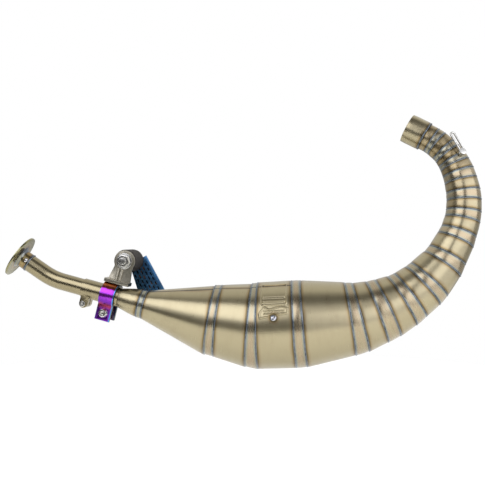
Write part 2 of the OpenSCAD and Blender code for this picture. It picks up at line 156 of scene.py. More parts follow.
@dataclass(frozen=True)
class Finish:
    """A finish of one real material, made once and shared by its pieces."""

    name: str

    def material(self) -> bpy.types.Material:
        """Gives the Blender material of this finish, and makes it the first time."""
        made = bpy.data.materials.get(self.name)
        if made is not None:
            return made
        made = bpy.data.materials.new(self.name)
        made.use_nodes = True
        made.node_tree.nodes.clear()
        shader = self.shade(made.node_tree)
        add(made.node_tree, "OutputMaterial", links={"Surface": shader})
        return made

    def shade(self, tree: bpy.types.NodeTree) -> bpy.types.Node:
        """Adds this finish's nodes and gives its shader node."""
        raise NotImplementedError


@dataclass(frozen=True)
class RolledTitanium(Finish):
    """Titanium sheet, rolled, sanded around the tube and TIG welded.

    The sanding gives a soft satin sheen with fine lines around the tube, and the weld heat
    leaves bands of heat colour beside each bead; a dark brown band at the bead's edge is
    painted shade.
    """

    tint: tuple[tuple[float, str], ...]
    streak: str = "#8d8168"
    streak_share: float = 0.25
    roughness: float = 0.3
    reach_mm: float = 14.0
    grit_mm: float = 1.2
    grit_relief: float = 0.04
    grit_round: float = 0.035
    gloss_swing: float = 0.03
    patch_mm: float = 45.0
    patch_round: float = 0.35
    wander_mm: float = 30.0
    halo_swing: tuple[float, float] = (0.86, 1.16)

    def shade(self, tree: bpy.types.NodeTree) -> bpy.types.Node:
        """Adds the sheet's nodes.

        Args:
            tree: node tree of the material.

        Returns:
            The Principled shader.
        """
        weld = add(tree, "Attribute", {"attribute_name": "weld_mm"})
        place = add(tree, "Attribute", {"attribute_name": "sheet_mm"})
        # the halo's width wanders along the weld as the torch speed did
        wander = add(tree, "TexNoise", {"Scale": 1 / self.wander_mm, "Detail": 1.0},
                     {"Vector": place.outputs["Vector"]})
        width = add(tree, "MapRange",
                    {"From Min": 0.3, "From Max": 0.7, "To Min": self.halo_swing[0],
                     "To Max": self.halo_swing[1]}, {"Value": wander})
        wavy = add(tree, "Math", {"operation": "MULTIPLY"}, {0: weld.outputs["Fac"], 1: width})
        share = add(tree, "Math", {"operation": "DIVIDE", 1: self.reach_mm, "use_clamp": True},
                    {0: wavy})
        # heat tint beside the weld; on the sheet its dark brown band is painted shade at the bead's
        # edge
        stops = [(at / self.reach_mm, code) for at, code in self.tint]
        weld_colour_and_shade = add(tree, "ValToRGB", {"stops": stops}, {"Fac": share})
        # slow change of tone over the sheet, stretched around the tube
        stretched = add(
            tree, "VectorMath",
            {"operation": "MULTIPLY", 1: (1.0, self.patch_round, self.patch_round)},
            {0: place.outputs["Vector"]},
        )
        patches = add(
            tree, "TexNoise", {"Scale": 3.2 / self.patch_mm, "Detail": 3.0, "Roughness": 0.6},
            {"Vector": stretched},
        )
        toned = add(tree, "MapRange",
                    {"From Min": 0.5, "From Max": 0.72, "To Min": 0.0, "To Max": self.streak_share},
                    {"Value": patches})
        colour = add(tree, "Mix", {"data_type": "RGBA", 7: linear(self.streak)},
                     {0: toned, 6: weld_colour_and_shade})
        # sanding lines: real grit lines are under 0.1 mm, drawn coarser so that they show
        around = add(
            tree, "VectorMath",
            {"operation": "MULTIPLY", 1: (1 / self.grit_mm, self.grit_round, self.grit_round)},
            {0: place.outputs["Vector"]},
        )
        lines = add(tree, "TexNoise", {"Scale": 1.0, "Detail": 4.0, "Roughness": 0.65},
                    {"Vector": around})
        gloss = add(tree, "MapRange",
                    {"From Min": 0.3, "From Max": 0.7, "To Min": self.roughness - self.gloss_swing,
                     "To Max": self.roughness + self.gloss_swing}, {"Value": lines})
        scratched = add(
            tree, "Bump", {"Strength": self.grit_relief, "Distance": 0.02 * MM}, {"Height": lines},
        )
        return add(tree, "BsdfPrincipled", {"Metallic": 1.0},
                   {"Base Color": colour, "Roughness": gloss, "Normal": scratched})


@dataclass(frozen=True)
class BrushedMetal(Finish):
    """Bare or anodised metal with a fine ground or tumbled surface.

    Two close tones break up in small soft spots, and the gloss changes with them.
    """

    light: str
    dark: str
    roughness: float = 0.3
    grain_mm: float = 1.2
    dent: float = 0.2

    def shade(self, tree: bpy.types.NodeTree) -> bpy.types.Node:
        """Adds the metal's nodes.

        Args:
            tree: node tree of the material.

        Returns:
            The Principled shader.
        """
        place = add(tree, "TexCoord")
        grain = add(
            tree, "TexNoise", {"Scale": 1 / (self.grain_mm * MM), "Detail": 5.0, "Roughness": 0.6},
            {"Vector": place.outputs["Object"]},
        )
        share = add(tree, "MapRange", {"From Min": 0.35, "From Max": 0.65}, {"Value": grain})
        colour = add(tree, "Mix",
                     {"data_type": "RGBA", 6: linear(self.dark), 7: linear(self.light)}, {0: share})
        gloss = add(
            tree, "MapRange", {"To Min": self.roughness + 0.07, "To Max": self.roughness - 0.05},
            {"Value": share},
        )
        dented = add(tree, "Bump", {"Strength": self.dent, "Distance": 0.03 * MM},
                     {"Height": grain})
        return add(tree, "BsdfPrincipled", {"Metallic": 1.0},
                   {"Base Color": colour, "Roughness": gloss, "Normal": dented})


@dataclass(frozen=True)
class FlamedBand(Finish):
    """Titanium clamp band, anodised to purple, whose edges went on to blue.

    The anodic film gives saturated metal colour: orange-red over the top, purple on the sides
    and a cyan line along each cut edge. A red band just above the bolt's height is a painted
    reflection.
    """

    half_width_mm: float
    gap_half_mm: float
    foot_mm: float = -37.0
    crown_mm: float = 17.0
    blotch_mm: float = 5.0
    crown: str = "#bb7236"
    scorch: str = "#6c2430"
    side: str = "#9238b4"
    low: str = "#652a90"
    rim: str = "#3f8fc4"
    red_reflection: str = "#96384c"
    # dark olive of the cut sides, also used as painted shade behind the gap
    cut: str = "#34321f"

    def shade(self, tree: bpy.types.NodeTree) -> bpy.types.Node:
        """Adds the band's nodes.

        Args:
            tree: node tree of the material.

        Returns:
            The Principled shader.
        """
        place = add(tree, "Attribute", {"attribute_name": "clamp_mm"})
        axes = add(tree, "SeparateXYZ", links={0: place.outputs["Vector"]})
        blotch = add(tree, "TexNoise", {"Scale": 0.22, "Detail": 2.0},
                     {"Vector": place.outputs["Vector"]})
        shift = add(
            tree, "Math", {"operation": "MULTIPLY_ADD", 1: self.blotch_mm, 2: -self.blotch_mm / 2},
            {0: blotch},
        )
        height = add(tree, "Math", {"operation": "ADD"}, {0: axes.outputs["Z"], 1: shift})
        level = add(tree, "MapRange", {"From Min": self.foot_mm, "From Max": self.crown_mm},
                    {"Value": height})
        # the red stop just above the bolt's height is a painted reflection
        tone = add(tree, "ValToRGB",
                   {"stops": [(0.0, self.low), (0.3, self.low), (0.42, self.red_reflection), (0.52, self.low),
                              (0.66, self.side), (0.84, self.side), (0.89, self.scorch),
                              (1.0, self.crown)]}, {"Fac": level})
        side = add(tree, "Math", {"operation": "ABSOLUTE"}, {0: axes.outputs["X"]})
        edge = add(tree, "MapRange",
                   {"From Min": self.half_width_mm - 1.9, "From Max": self.half_width_mm - 0.6},
                   {"Value": side})
        rimmed = add(tree, "Mix", {"data_type": "RGBA", 7: linear(self.rim)}, {0: edge, 6: tone})
        # the cut sides are painted dark olive, and all that lies behind the gap gets the same
        # colour as painted shade
        at_cut = add(tree, "MapRange",
                     {"From Min": self.half_width_mm - 0.3, "From Max": self.half_width_mm - 0.1},
                     {"Value": side})
        behind = add(tree, "MapRange",
                     {"From Min": self.gap_half_mm - 2.5, "From Max": self.gap_half_mm - 0.5},
                     {"Value": axes.outputs["Y"]})
        dark_cut_and_shade = add(tree, "Math", {"operation": "MAXIMUM"}, {0: at_cut, 1: behind})
        colour = add(tree, "Mix", {"data_type": "RGBA", 7: linear(self.cut)},
                     {0: dark_cut_and_shade, 6: rimmed})
        return add(tree, "BsdfPrincipled", {"Metallic": 1.0, "Roughness": 0.24},
                   {"Base Color": colour})


@dataclass(frozen=True)
class SlottedStrip(Finish):
    """Titanium strip, anodised steel-blue, with pressed slots painted dark as shade.

    The film is even on the face; the slots are painted near black as shade, with a few
    painted glints in warm brown.
    """

    light: str = "#4f7ea8"
    dark: str = "#33567a"
    slot: str = "#10151b"
    slot_glint: str = "#6b4a26"
    slot_depth_mm: float = 1.5
    cloud_mm: float = 9.0

    def shade(self, tree: bpy.types.NodeTree) -> bpy.types.Node:
        """Adds the strip's nodes.

        Args:
            tree: node tree of the material.

        Returns:
            The Principled shader.
        """
        depth = add(tree, "Attribute", {"attribute_name": "depth_mm"})
        place = add(tree, "TexCoord")
        cloud = add(tree, "TexNoise", {"Scale": 1 / (self.cloud_mm * MM), "Detail": 3.0},
                    {"Vector": place.outputs["Object"]})
        face = add(tree, "Mix", {"data_type": "RGBA", 6: linear(self.dark), 7: linear(self.light)},
                   {0: cloud})
        # painted glints: a few warm spots on the slot floors
        glint_spots = add(tree, "MapRange", {"From Min": 0.52, "From Max": 0.6}, {"Value": cloud})
        floor = add(tree, "Mix", {"data_type": "RGBA", 6: linear(self.slot), 7: linear(self.slot_glint)},
                    {0: glint_spots})
        # the slot floors are painted near black as shade
        inside = add(tree, "MapRange", {"From Min": 0.1, "From Max": 0.5 * self.slot_depth_mm},
                     {"Value": depth.outputs["Fac"]})
        colour = add(tree, "Mix", {"data_type": "RGBA"}, {0: inside, 6: face, 7: floor})
        return add(tree, "BsdfPrincipled", {"Metallic": 1.0, "Roughness": 0.34},
                   {"Base Color": colour})


@dataclass(frozen=True)
class MouldedRubber(Finish):
    """Black natural rubber, moulded with ribs: nearly matt, with a dusty brown bloom."""

    light: str = "#2d2720"
    dark: str = "#12100d"
    bloom_mm: float = 6.0
    pore_mm: float = 0.6

    def shade(self, tree: bpy.types.NodeTree) -> bpy.types.Node:
        """Adds the rubber's nodes.

        Args:
            tree: node tree of the material.

        Returns:
            The Principled shader.
        """
        place = add(tree, "TexCoord")
        bloom = add(tree, "TexNoise", {"Scale": 1 / (self.bloom_mm * MM), "Detail": 4.0},
                    {"Vector": place.outputs["Object"]})
        colour = add(tree, "Mix",
                     {"data_type": "RGBA", 6: linear(self.dark), 7: linear(self.light)}, {0: bloom})
        skin = add(tree, "TexNoise", {"Scale": 1 / (self.pore_mm * MM), "Detail": 2.0},
                   {"Vector": place.outputs["Object"]})
        pitted = add(tree, "Bump", {"Strength": 0.3, "Distance": 0.05 * MM}, {"Height": skin})
        return add(tree, "BsdfPrincipled", {"Roughness": 0.62, "Specular IOR Level": 0.35},
                   {"Base Color": colour, "Normal": pitted})


@dataclass(frozen=True)
class StudioPaper(Finish):
    """Seamless white background paper: matt and even."""

    tone: str = "#f4f4f2"

    def shade(self, tree: bpy.types.NodeTree) -> bpy.types.Node:
        """Adds the paper's nodes.

        Args:
            tree: node tree of the material.

        Returns:
            The diffuse shader.
        """
        return add(tree, "BsdfDiffuse", {"Color": linear(self.tone)})


# heat tint beside the beads; the dark brown stops at 1.5 and 2.3 mm are heat tint darkened into
# painted shade at the bead's edge
SHEET = RolledTitanium(
    "titanium_sheet_sanded",
    tint=(
        (0.0, "#767a78"), (1.0, "#6a6c68"), (1.5, "#61563b"), (2.3, "#65583c"), (3.0, "#877756"),
        (4.5, "#95876a"), (6.5, "#9c9275"),
    ),
    streak="#8a7d62",
)
RING = RolledTitanium(
    "titanium_ring_heat_soaked",
    tint=(
        (0.0, "#767a78"), (1.2, "#7f837c"), (2.2, "#8d8a76"), (3.5, "#9a8c72"), (5.0, "#9d8e74"),
        (8.0, "#9c9275"),
    ),
    streak="#8d7f64", streak_share=0.6, roughness=0.27, patch_mm=16.0, patch_round=0.14,
    grit_relief=0.0,
)
DRESSED = RolledTitanium(
    "titanium_tube_polished", tint=((0.0, "#8c8266"), (1.0, "#8c8266")), streak="#7d7358",
    roughness=0.26, grit_relief=0.0,
)
FLANGE = RolledTitanium(
    "titanium_flange_turned",
    tint=(
        (0.0, "#6c7076"), (1.2, "#5a6470"), (2.4, "#655647"), (4.0, "#8a7249"), (7.0, "#887e5d"),
        (12.0, "#85805f"),
    ),
    streak="#8f8a63", streak_share=0.6, roughness=0.24, patch_mm=30.0, grit_relief=0.0,
)
BEAD = BrushedMetal(
    "titanium_weld_bead", light="#6b7074", dark="#4a4f54", roughness=0.24, grain_mm=7.0, dent=0.1
)
NUGGET = BrushedMetal(
    "titanium_weld_nugget", light="#c9c4bd", dark="#5a6478", roughness=0.16, grain_mm=2.5, dent=0.5
)
FASTENER = BrushedMetal("steel_stainless_turned", light="#d2d1cb", dark="#a9a69d", roughness=0.22)
BRACKET = BrushedMetal(
    "steel_plate_bead_blasted", light="#a8a290", dark="#827d6f", roughness=0.32, dent=0.35
)
STRIP = SlottedStrip("titanium_strip_anodised_blue")
RUBBER = MouldedRubber("rubber_natural_moulded")


# ---- Meshes ----------------------------------


def unit(v: np.ndarray) -> np.ndarray:
    """Scales vectors, one per row, to length one."""
    return v / np.linalg.norm(v, axis=-1, keepdims=True)


def spokes(angles: np.ndarray, away: np.ndarray, across: np.ndarray) -> np.ndarray:
    """Gives unit vectors at some angles in the plane of two directions, one per row."""
    return np.cos(angles)[:, None] * away + np.sin(angles)[:, None] * across


def grid_faces(rows: int, columns: int) -> np.ndarray:
    """Lists the quads of a grid that closes on itself both ways.

    Args:
        rows: number of rows of points.
        columns: number of points in a row.

    Returns:
        Four point numbers per quad.
    """
    i = np.arange(rows)[:, None]
    j = np.arange(columns)[None, :]
    ahead = (i + 1) % rows
    beside = (j + 1) % columns
    corners = [i * columns + j, ahead * columns + j, ahead * columns + beside, i * columns + beside]
    return np.stack([np.broadcast_to(c, (rows, columns)) for c in corners], -1).reshape(-1, 4)


@dataclass
class Piece:
    """A mesh on its way to becoming a named, dressed and riding object."""

    name: str
    points: np.ndarray
    faces: np.ndarray
    layers: dict[str, np.ndarray] = field(default_factory=dict)

    def place(
        self, finish: Finish, body: str, slot: str, replaces: tuple[str, ...] = ()
    ) -> bpy.types.Object:
        """Makes the object.

        Args:
            finish: finish it wears.
            body: CAD body it rides on.
            slot: the record's material slot; not used.
            replaces: CAD nodes it stands for.

        Returns:
            The new object.
        """
        mesh = bpy.data.meshes.new(self.name)
        mesh.from_pydata(self.points.tolist(), [], self.faces.tolist())
        for layer, values in self.layers.items():
            add_layer(mesh, layer, values)
        return finished(mesh, self.name, finish, body, replaces)


def finished(mesh: bpy.types.Mesh, name: str, finish: Finish, body: str,
             replaces: tuple[str, ...], sharp_deg: float = 40.0) -> bpy.types.Object:
    """Turns a mesh into an object that is shaded, dressed and riding.

    Args:
        mesh: the mesh, in metres in the row frame.
        name: object name.
        finish: finish it wears.
        body: CAD body it rides on.
        replaces: CAD nodes it stands for.
        sharp_deg: edges that turn more than this stay sharp.

    Returns:
        The new object.
    """
    made = bmesh.new()
    made.from_mesh(mesh)
    bmesh.ops.recalc_face_normals(made, faces=made.faces)
    made.to_mesh(mesh)
    made.free()
    mesh.shade_smooth()
    mesh.set_sharp_from_angle(angle=math.radians(sharp_deg))
    obj = bpy.data.objects.new(name, mesh)
    bpy.context.scene.collection.objects.link(obj)
    mesh.materials.clear()
    mesh.materials.append(finish.material())
    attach(obj, body)
    if replaces:
        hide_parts(*replaces)
    return obj


@dataclass(frozen=True)
class Rim:
    """A flat end of a CAD tube: its centre, outward normal and two edge loops."""

    centre: np.ndarray
    normal: np.ndarray
    points: np.ndarray

    @property
    def radii_mm(self) -> tuple[float, float]:
        """Outer and inner radius, in mm."""
        reach = np.linalg.norm(self.points - self.centre, axis=1) / MM
        return float(reach.max()), float(reach.min())


def rims_of(node: str) -> list[Rim]:
    """Finds the two outermost flat ends of a tube-like CAD node.

    Args:
        node: name of the CAD node.

    Returns:
        The two ends, in no set order.
    """
    mesh = frame["nodes"][node].data
    flats: list[list] = []
    for face in sorted(mesh.polygons, key=lambda f: -f.area):
        if face.use_smooth:
            continue
        normal = np.array(face.normal)
        level = float(normal @ np.array(face.center))
        corners = [tuple(mesh.vertices[v].co) for v in face.vertices]
        for flat in flats:
            if flat[0] @ normal > PARALLEL and abs(flat[1] - level) < LEVEL_MM * MM:
                flat[2] += face.area
                flat[3].extend(corners)
                break
        else:
            flats.append([normal, level, face.area, corners])
    everything = np.array([v.co for v in mesh.vertices])
    # an end plane has the whole tube on its inner side
    inside = (f for f in flats if (everything @ f[0]).max() < f[1] + LEVEL_MM / 2 * MM)
    ends = [f for f in inside if len(f[3]) > END_CORNERS]
    ends.sort(key=lambda f: -f[2])
    rims = []
    for normal, _, _, corners in ends:
        points = np.unique(np.round(np.array(corners), 7), axis=0)
        if all(normal @ rim.normal < 0.5 for rim in rims):
            rims.append(Rim((points.max(0) + points.min(0)) / 2, normal, points))
    if len(rims) < 2:
        raise ValueError(f"{node} has {len(rims)} flat ends")
    return rims[:2]


@dataclass(frozen=True)
class Tube:
    """A tube between two flat ends, in cylinder coordinates about the line between them."""

    start: Rim
    end: Rim

    @property
    def axis(self) -> np.ndarray:
        """Unit vector from the start to the end."""
        return unit(self.end.centre - self.start.centre)

    @property
    def length(self) -> float:
        """Distance between the centres of the two ends, in metres."""
        return float(np.linalg.norm(self.end.centre - self.start.centre))

    def at(self, share: float) -> np.ndarray:
        """Gives the point a share of the way from the start to the end."""
        return self.start.centre + share * (self.end.centre - self.start.centre)

    def sides(self) -> tuple[np.ndarray, np.ndarray]:
        """Gives the two directions that angles are measured from: away, and across."""
        away = np.array([0.0, 1.0, 0.0])
        away = unit(away - (away @ self.axis) * self.axis)
        return away, np.cross(self.axis, away)

    def loops(self, rim: Rim, angles: np.ndarray) -> tuple[np.ndarray, np.ndarray]:
        """Samples a rim's outer and inner edge.

        Args:
            rim: one of the two ends.
            angles: angles to sample at, in radians.

        Returns:
            Outer and inner points, one per angle.
        """
        away, across = self.sides()
        offset = rim.points - rim.centre
        x, y, s = offset @ away, offset @ across, offset @ self.axis
        radius, turn = np.hypot(x, y), np.arctan2(y, x)
        middle = (radius.max() + radius.min()) / 2
        made = []
        for chosen in (radius > middle, radius <= middle):
            order = np.argsort(turn[chosen])
            known = turn[chosen][order]
            r = np.interp(angles, known, radius[chosen][order], period=TURN)
            h = np.interp(angles, known, s[chosen][order], period=TURN)
            edge = r[:, None] * spokes(angles, away, across) + h[:, None] * self.axis
            made.append(rim.centre + edge)
        return made[0], made[1]


def tube_of(node: str, upstream: np.ndarray) -> Tube:
    """Reads a tube from a CAD node.

    Args:
        node: name of the CAD node.
        upstream: a point nearer the tube's start than its end.

    Returns:
        The tube.
    """
    rims = sorted(rims_of(node), key=lambda rim: float(np.linalg.norm(rim.centre - upstream)))
    return Tube(rims[0], rims[1])


def lathe(
    name: str, start: np.ndarray, axis: np.ndarray, profile: list[tuple[float, float]], around: int
) -> Piece:
    """Turns a closed profile about an axis.

    Args:
        name: name of the piece.
        start: point on the axis that the profile's lengths are measured from.
        axis: unit vector along the axis.
        profile: (length along the axis, radius) in mm, round the closed section.
        around: number of steps round the axis.

    Returns:
        The turned ring.
    """
    away = np.array([0.0, 0.0, 1.0]) if abs(axis[1]) > 0.9 else np.array([0.0, 1.0, 0.0])
    away = unit(away - (away @ axis) * axis)
    across = np.cross(axis, away)
    angles = np.linspace(0, TURN, around, endpoint=False)
    ring = spokes(angles, away, across)
    points = [start + (s * axis + r * ring) * MM for s, r in profile]
    return Piece(name, np.concatenate(points), grid_faces(len(profile), around))


def bead_ring(
    path: np.ndarray, across: np.ndarray, outward: np.ndarray, width: float, height: float
) -> tuple[np.ndarray, np.ndarray]:
    """Lays a weld bead of overlapping puddles on a closed path.

    Args:
        path: points on the joint, in metres.
        across: unit vectors across the bead, one per point.
        outward: unit vectors off the surface, one per point.
        width: bead width in mm.
        height: crown height in mm.

    Returns:
        Points and quads of the closed bead.
    """
    steps = np.linalg.norm(np.roll(path, -1, 0) - path, axis=1) / MM
    run = np.concatenate([[0.0], np.cumsum(steps)[:-1]])
    pitch = steps.sum() / max(1, round(steps.sum() / PUDDLE_MM))
    rows = []
    for x in np.linspace(-1, 1, 7):
        crown = max(0.0, 1 - x * x)
        phase = run / pitch + 0.55 * crown
        ripple = 1 + RIPPLE * crown * ((phase % 1.0) - 0.5)
        rise = height * (crown * ripple) - 0.05
        rows.append(path + (x * width / 2 * across + rise[:, None] * outward) * MM)
    rows.append(path + (0.3 * width * across - 0.5 * outward) * MM)
    rows.append(path - (0.3 * width * across + 0.5 * outward) * MM)
    return np.concatenate(rows), grid_faces(len(rows), len(path))


def softened(node: str, bevel_mm: float) -> bpy.types.Mesh:
    """Copies a CAD node's mesh with small bevels on its sharp edges.

    Args:
        node: name of the CAD node.
        bevel_mm: bevel width in mm.

    Returns:
        The new mesh.
    """
    mesh = bpy.data.meshes.new(node + "_soft")
    made = bmesh.new()
    made.from_mesh(frame["nodes"][node].data)
    bmesh.ops.remove_doubles(made, verts=made.verts, dist=0.004 * MM)
    bmesh.ops.dissolve_limit(
        made, angle_limit=math.radians(0.6), verts=made.verts, edges=made.edges
    )
    bmesh.ops.recalc_face_normals(made, faces=made.faces)
    sharp = [
        e
        for e in made.edges
        if len(e.link_faces) == 2 and e.calc_face_angle(0.0) > math.radians(SHARP_DEG)
    ]
    bmesh.ops.bevel(made, geom=sharp, offset=bevel_mm * MM, segments=2, profile=0.6, affect="EDGES",
                    clamp_overlap=True)
    made.to_mesh(mesh)
    made.free()
    return mesh


def dress(node: str, ending: str, bevel_mm: float, finish: Finish, body: str) -> None:
    """Stands a softened copy of a CAD node in its place.

    Args:
        node: name of the CAD node.
        ending: end of the new object's name.
        bevel_mm: bevel width in mm.
        finish: finish it wears.
        body: CAD body it rides on.
    """
    finished(softened(node, bevel_mm), f"{node}_{ending}", finish, body, (node,))


def merged(name: str, parts: list[tuple[np.ndarray, np.ndarray]]) -> Piece:
    """Joins meshes, each given as points and quads, to one piece."""
    first = np.cumsum([0] + [len(points) for points, _ in parts])
    faces = [quads + start for (_, quads), start in zip(parts, first)]
    return Piece(name, np.concatenate([points for points, _ in parts]), np.concatenate(faces))


def add_layer(mesh: bpy.types.Mesh, name: str, values: np.ndarray) -> None:
    """Writes a number or a vector per point as a mesh attribute."""
    flat = values.ndim == 1
    data = mesh.attributes.new(name, "FLOAT" if flat else "FLOAT_VECTOR", "POINT").data
    data.foreach_set("value" if flat else "vector", values.astype(np.float32).ravel())


def points_of(mesh: bpy.types.Mesh) -> np.ndarray:
    """Gives a mesh's points, one per row, in metres."""
    flat = np.zeros(len(mesh.vertices) * 3, np.float32)
    mesh.vertices.foreach_get("co", flat)
    return flat.reshape(-1, 3).astype(float)


# ---- The chamber's shells --------------------


class EndKind(Enum):
    """What an end of a rolled section is."""

    WELDED = "welded"
    DRESSED = "dressed flush"
    OPEN = "open"


def crest(distance: np.ndarray, width: float) -> np.ndarray:
    """Gives a pressed line's rounded height, one on the line and zero a width away from it."""
    return np.clip(1 - (distance / width) ** 2, 0, 1) ** 1.5


def to_segment(u: np.ndarray, v: np.ndarray, a: tuple, b: tuple) -> np.ndarray:
    """Gives the distance of points on the sheet from a straight line between two points."""
    du, dv = b[0] - a[0], b[1] - a[1]
    t = np.clip(((u - a[0]) * du + (v - a[1]) * dv) / (du * du + dv * dv), 0, 1)
    return np.hypot(u - a[0] - t * du, v - a[1] - t * dv)


@dataclass(frozen=True)
class PressedPanel:
    """A plain panel pressed into the belly's front: a frame, two bars and a field of dashes.

    Lengths are in mm on the sheet: u down the gas flow from the middle of the drum, v upward
    from the drum's foremost line. The plug that closes the purge hole sits below the panel.
    """

    frame_centre: float = 54.0
    frame_half: tuple[float, float] = (17.0, 19.5)
    bars: tuple[float, ...] = (47.0, 40.0)
    bar_half: float = 14.0
    outline: tuple[tuple[float, float], ...] = (
        (19.0, 17.0), (20.0, 23.0), (13.0, 31.5), (6.0, 28.0), (-8.0, 32.0), (-18.5, 29.0),
        (-18.0, 22.5),
    )
    dash_rows: tuple[float, ...] = (26.0, 22.5)
    dash_pitch: float = 4.4
    dash_shift: float = 1.1
    dash_half: float = 1.1
    dash_reach: float = 14.0
    dash_line: float = 1.1
    corner_mm: float = 3.0
    step_round_mm: float = 0.55
    step_along_mm: float = 0.6
    relief_mm: float = 1.1
    line_mm: float = 1.25
    plug_at: tuple[float, float] = (0.5, 16.6)
    plug_mm: float = 4.2

    def span(self) -> tuple[float, float]:
        """Gives the range of v that needs a fine mesh."""
        return -1.0, self.frame_centre + self.frame_half[1] + self.corner_mm

    def height_mm(self, u: np.ndarray, v: np.ndarray) -> np.ndarray:
        """Gives how far the sheet is pressed outward."""
        du = np.abs(u) - self.frame_half[0] + self.corner_mm
        dv = np.abs(v - self.frame_centre) - self.frame_half[1] + self.corner_mm
        rounded = np.hypot(np.maximum(du, 0), np.maximum(dv, 0)) + np.minimum(np.maximum(du, dv), 0)
        lines = crest(np.abs(rounded - self.corner_mm), self.line_mm)
        for at in self.bars:
            bar = to_segment(u, v, (-self.bar_half, at), (self.bar_half, at))
            lines = np.maximum(lines, 1.5 * crest(bar, 1.7 * self.line_mm))
        for a, b in zip(self.outline, self.outline[1:] + self.outline[:1]):
            lines = np.maximum(lines, crest(to_segment(u, v, a, b), self.line_mm))
        for row, at in enumerate(self.dash_rows):
            along = u + self.dash_shift * row
            near = along - self.dash_pitch * np.round(along / self.dash_pitch)
            gap = np.hypot(np.maximum(np.abs(near) - self.dash_half, 0), v - at)
            dash = crest(gap, self.dash_line)
            lines = np.maximum(lines, np.where(np.abs(u) < self.dash_reach, 0.8 * dash, 0))
        return self.relief_mm * lines

    def plug_gap(self, u: np.ndarray, v: np.ndarray) -> np.ndarray:
        """Gives the distance from the plug's weld, in mm."""
        gap = np.hypot(u - self.plug_at[0], v - self.plug_at[1]) - self.plug_mm
        return np.maximum(gap, 0.0) + 1.2


